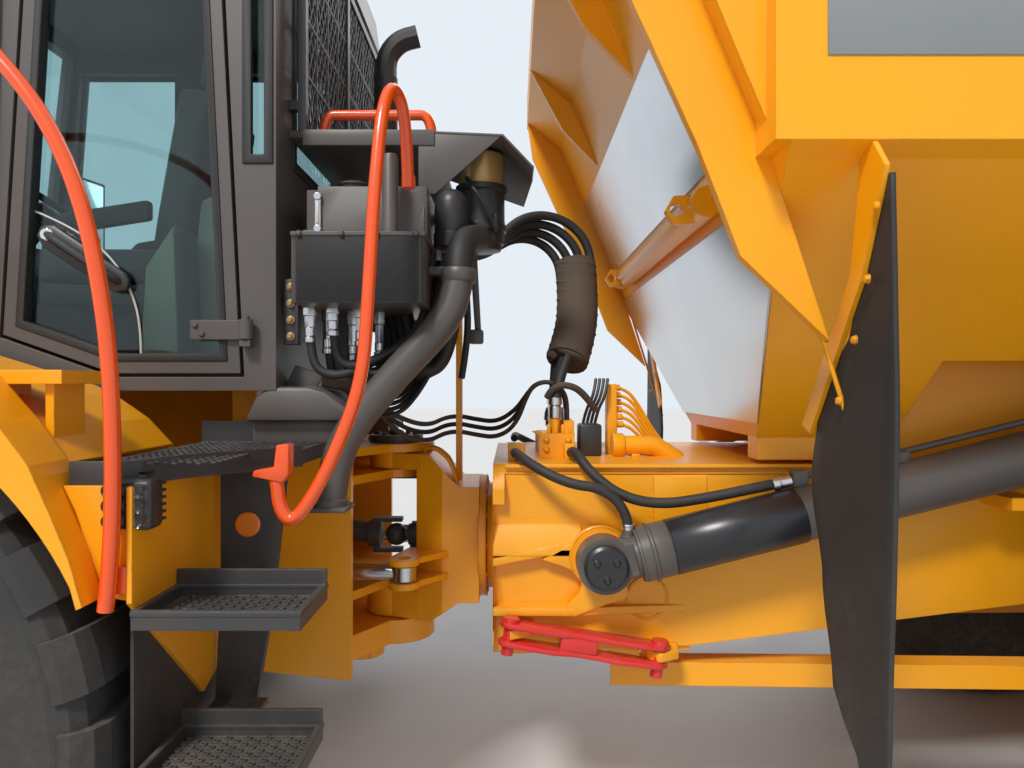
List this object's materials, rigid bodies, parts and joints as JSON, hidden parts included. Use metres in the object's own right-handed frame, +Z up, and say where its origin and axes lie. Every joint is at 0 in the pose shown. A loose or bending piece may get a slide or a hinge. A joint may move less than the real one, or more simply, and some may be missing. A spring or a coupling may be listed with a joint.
{
  "type": "articulated dump truck",
  "caption": "Six-wheel articulated hauler: pivoting, rolling hitch between front and rear units, tipping bed on hoist cylinders, opening cab door and hood.",
  "frame": {"origin": "on the ground below the middle of the machine's length and width", "axes": "+X forward, +Y to the machine's left, +Z up"},
  "size_m": [10.22, 2.86, 3.428],
  "materials": {
    "yellow_paint": "thick gloss yellow paint over steel, chipped at the edges",
    "grey_paint": "satin warm grey paint",
    "dark_paint": "satin dark grey paint",
    "orange_paint": "gloss orange paint on pipe",
    "red_paint": "gloss red paint",
    "bright_steel": "bare bright steel",
    "black_rubber": "worn black rubber",
    "tyre_rubber": "dusty black tyre rubber",
    "cab_glass": "tinted safety glass",
    "cab_trim": "grained grey plastic and seat cloth"
  },
  "bodies": {
    "rear_frame": {"rear_frame": "yellow_paint", "lock_bar": "red_paint", "valve_block": "yellow_paint", "rear_axles": "yellow_paint", "bogie_beams": "yellow_paint", "rear_shaft": "dark_paint", "hoses_hoist_l": "black_rubber", "hoses_hoist_r": "black_rubber"},
    "hitch": {"hitch_yoke": "yellow_paint", "hitch_shaft": "dark_paint", "hoses_rear": "black_rubber"},
    "front_unit": {"front_frame": "yellow_paint", "steering_pins": "grey_paint", "front_shaft": "dark_paint", "front_axle": "yellow_paint", "front_bumper": "dark_paint", "engine": "grey_paint", "fenders": "yellow_paint", "ladders": "dark_paint", "handrails": "orange_paint", "cab_shell": "grey_paint", "cab_roof": "grey_paint", "cab_glass": "cab_glass", "cab_interior": "cab_trim", "hydraulic_tank": "grey_paint", "deck": "dark_paint", "filters": "dark_paint", "exhaust_guard": "dark_paint", "skirts": "black_rubber", "mirrors": "dark_paint", "hoses_front": "black_rubber"},
    "cab_door": {"door_frame": "grey_paint", "door_glass": "cab_glass"},
    "hood": {"hood_shell": "yellow_paint", "hood_grille": "dark_paint"},
    "dump_bed": {"bed_shell": "yellow_paint", "bed_front_sheet": "bright_steel", "bed_flaps": "black_rubber"},
    "wheel_fl": {"tyre_fl": "tyre_rubber", "rim_fl": "yellow_paint"},
    "wheel_fr": {"tyre_fr": "tyre_rubber", "rim_fr": "yellow_paint"},
    "wheel_ml": {"tyre_ml": "tyre_rubber", "rim_ml": "yellow_paint"},
    "wheel_mr": {"tyre_mr": "tyre_rubber", "rim_mr": "yellow_paint"},
    "wheel_rl": {"tyre_rl": "tyre_rubber", "rim_rl": "yellow_paint"},
    "wheel_rr": {"tyre_rr": "tyre_rubber", "rim_rr": "yellow_paint"},
    "hoist_barrel_l": {"hoist_barrel_l": "grey_paint"},
    "hoist_rod_l": {"hoist_rod_l": "bright_steel"},
    "steer_barrel_l": {"steer_barrel_l": "grey_paint"},
    "steer_rod_l": {"steer_rod_l": "bright_steel"},
    "hoist_barrel_r": {"hoist_barrel_r": "grey_paint"},
    "hoist_rod_r": {"hoist_rod_r": "bright_steel"},
    "steer_barrel_r": {"steer_barrel_r": "grey_paint"},
    "steer_rod_r": {"steer_rod_r": "bright_steel"}
  },
  "joints": [
    {"name": "hitch_roll", "type": "hinge", "parent": "rear_frame", "child": "hitch", "pos_m": [0.7, 0, 1.002], "axis": [1, 0, 0], "range_deg": [-15, 15], "deforming": ["hoses_rear"]},
    {"name": "articulation", "type": "hinge", "parent": "hitch", "child": "front_unit", "pos_m": [1.136, 0, 1.002], "axis": [0, 0, 1], "range_deg": [-45, 45], "deforming": ["hoses_front"]},
    {"name": "cab_door_hinge", "type": "hinge", "parent": "front_unit", "child": "cab_door", "pos_m": [1.461, 0.768, 2.4], "axis": [0, 0, 1], "range_deg": [0, 55]},
    {"name": "hood_hinge", "type": "hinge", "parent": "front_unit", "child": "hood", "pos_m": [4.98, 0, 1.24], "axis": [0, 1, 0], "range_deg": [0, 60]},
    {"name": "bed_tip", "type": "hinge", "parent": "rear_frame", "child": "dump_bed", "pos_m": [-3.98, 0, 1.48], "axis": [0, -1, 0], "range_deg": [0, 70]},
    {"name": "wheel_fl_spin", "type": "hinge", "parent": "front_unit", "child": "wheel_fl", "pos_m": [2.346, 1.129, 0.807], "axis": [0, 1, 0], "continuous": true},
    {"name": "wheel_fr_spin", "type": "hinge", "parent": "front_unit", "child": "wheel_fr", "pos_m": [2.346, -1.129, 0.807], "axis": [0, 1, 0], "continuous": true},
    {"name": "wheel_ml_spin", "type": "hinge", "parent": "rear_frame", "child": "wheel_ml", "pos_m": [-1.829, 1.129, 0.807], "axis": [0, 1, 0], "continuous": true},
    {"name": "wheel_mr_spin", "type": "hinge", "parent": "rear_frame", "child": "wheel_mr", "pos_m": [-1.829, -1.129, 0.807], "axis": [0, 1, 0], "continuous": true},
    {"name": "wheel_rl_spin", "type": "hinge", "parent": "rear_frame", "child": "wheel_rl", "pos_m": [-3.499, 1.129, 0.807], "axis": [0, 1, 0], "continuous": true},
    {"name": "wheel_rr_spin", "type": "hinge", "parent": "rear_frame", "child": "wheel_rr", "pos_m": [-3.499, -1.129, 0.807], "axis": [0, 1, 0], "continuous": true},
    {"name": "hoist_barrel_l_swing", "type": "hinge", "parent": "rear_frame", "child": "hoist_barrel_l", "pos_m": [0.383, 0.6, 1.03], "axis": [0, 1, 0], "range_deg": [0, 17.1], "deforming": ["hoses_hoist_l"]},
    {"name": "hoist_rod_l_slide", "type": "slide", "parent": "hoist_barrel_l", "child": "hoist_rod_l", "axis": [-0.9703, 0, 0.2419], "range_m": [0, 1.99]},
    {"name": "steer_barrel_l_swing", "type": "hinge", "parent": "front_unit", "child": "steer_barrel_l", "pos_m": [2.036, 0.25, 0.93], "axis": [0, 0, 1], "range_deg": [-3.2, 3.2]},
    {"name": "steer_rod_l_slide", "type": "slide", "parent": "steer_barrel_l", "child": "steer_rod_l", "axis": [-0.9974, 0.0725, 0], "range_m": [-0.229, 0.229]},
    {"name": "hoist_barrel_r_swing", "type": "hinge", "parent": "rear_frame", "child": "hoist_barrel_r", "pos_m": [0.383, -0.6, 1.03], "axis": [0, 1, 0], "range_deg": [0, 17.1], "deforming": ["hoses_hoist_r"]},
    {"name": "hoist_rod_r_slide", "type": "slide", "parent": "hoist_barrel_r", "child": "hoist_rod_r", "axis": [-0.9703, 0, 0.2419], "range_m": [0, 1.99]},
    {"name": "steer_barrel_r_swing", "type": "hinge", "parent": "front_unit", "child": "steer_barrel_r", "pos_m": [2.036, -0.25, 0.93], "axis": [0, 0, 1], "range_deg": [-3.2, 3.2]},
    {"name": "steer_rod_r_slide", "type": "slide", "parent": "steer_barrel_r", "child": "steer_rod_r", "axis": [-0.9974, -0.0725, 0], "range_m": [-0.229, 0.229]}
  ],
  "couplings": [
    {"joint": "hoist_barrel_l_swing", "follows": "bed_tip", "ratio": 0.2439},
    {"joint": "hoist_rod_l_slide", "follows": "bed_tip", "m_per_rad": 1.628},
    {"joint": "steer_barrel_l_swing", "follows": "articulation", "ratio": -0.0692},
    {"joint": "steer_rod_l_slide", "follows": "articulation", "m_per_rad": -0.2902},
    {"joint": "hoist_barrel_r_swing", "follows": "bed_tip", "ratio": 0.2439},
    {"joint": "hoist_rod_r_slide", "follows": "bed_tip", "m_per_rad": 1.628},
    {"joint": "steer_barrel_r_swing", "follows": "articulation", "ratio": -0.0692},
    {"joint": "steer_rod_r_slide", "follows": "articulation", "m_per_rad": 0.2902}
  ]
}
